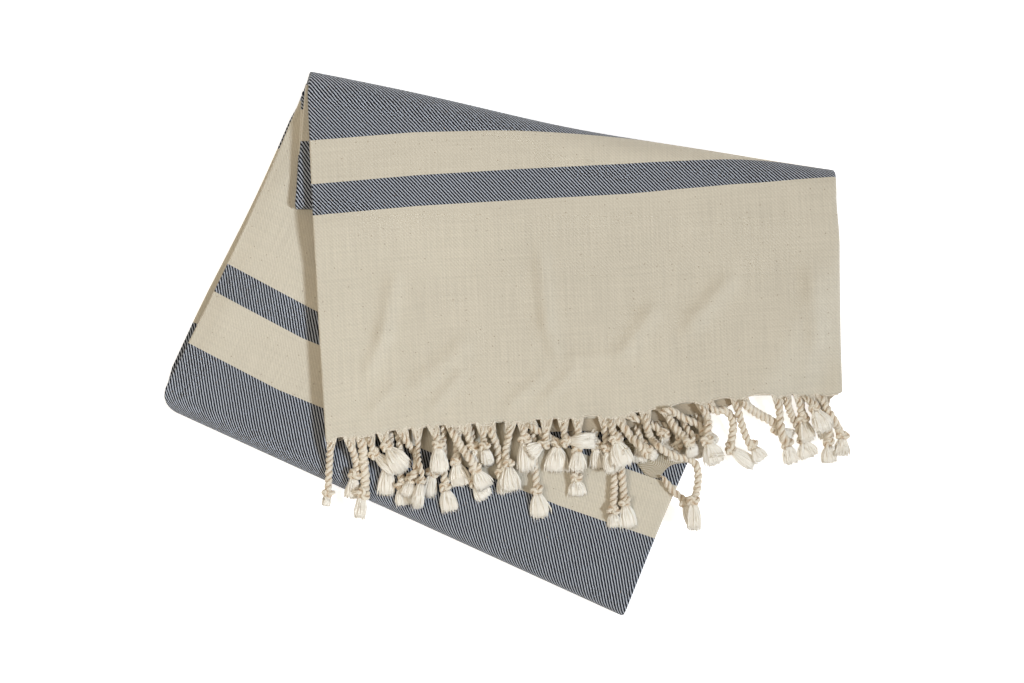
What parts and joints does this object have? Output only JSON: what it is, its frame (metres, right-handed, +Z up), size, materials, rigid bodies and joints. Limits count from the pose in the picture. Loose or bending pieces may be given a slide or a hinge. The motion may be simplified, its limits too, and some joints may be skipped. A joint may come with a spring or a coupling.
{
  "type": "hammam towel",
  "caption": "Hammam towel in undyed cotton twill with dark stripes and a knotted fringe at both ends, folded flat with one fringed end turned over the top.",
  "frame": {"origin": "centre of the bounding box, on the surface that the folded towel lies on", "axes": "+Z up, away from the surface; the slanting fold runs from the left at the back towards +X; the turned-over flap and its fringe run towards -Y"},
  "size_m": [0.4385, 0.3492, 0.0309],
  "materials": {
    "cotton_twill": "matt woven cotton twill, undyed, with dark blue and white stripes",
    "cotton_cord": "matt twisted cotton cord with brushed ends"
  },
  "bodies": {
    "root": {"towel_cloth": "cotton_twill", "fringe_front": "cotton_cord", "fringe_under": "cotton_cord"}
  },
  "joints": []
}
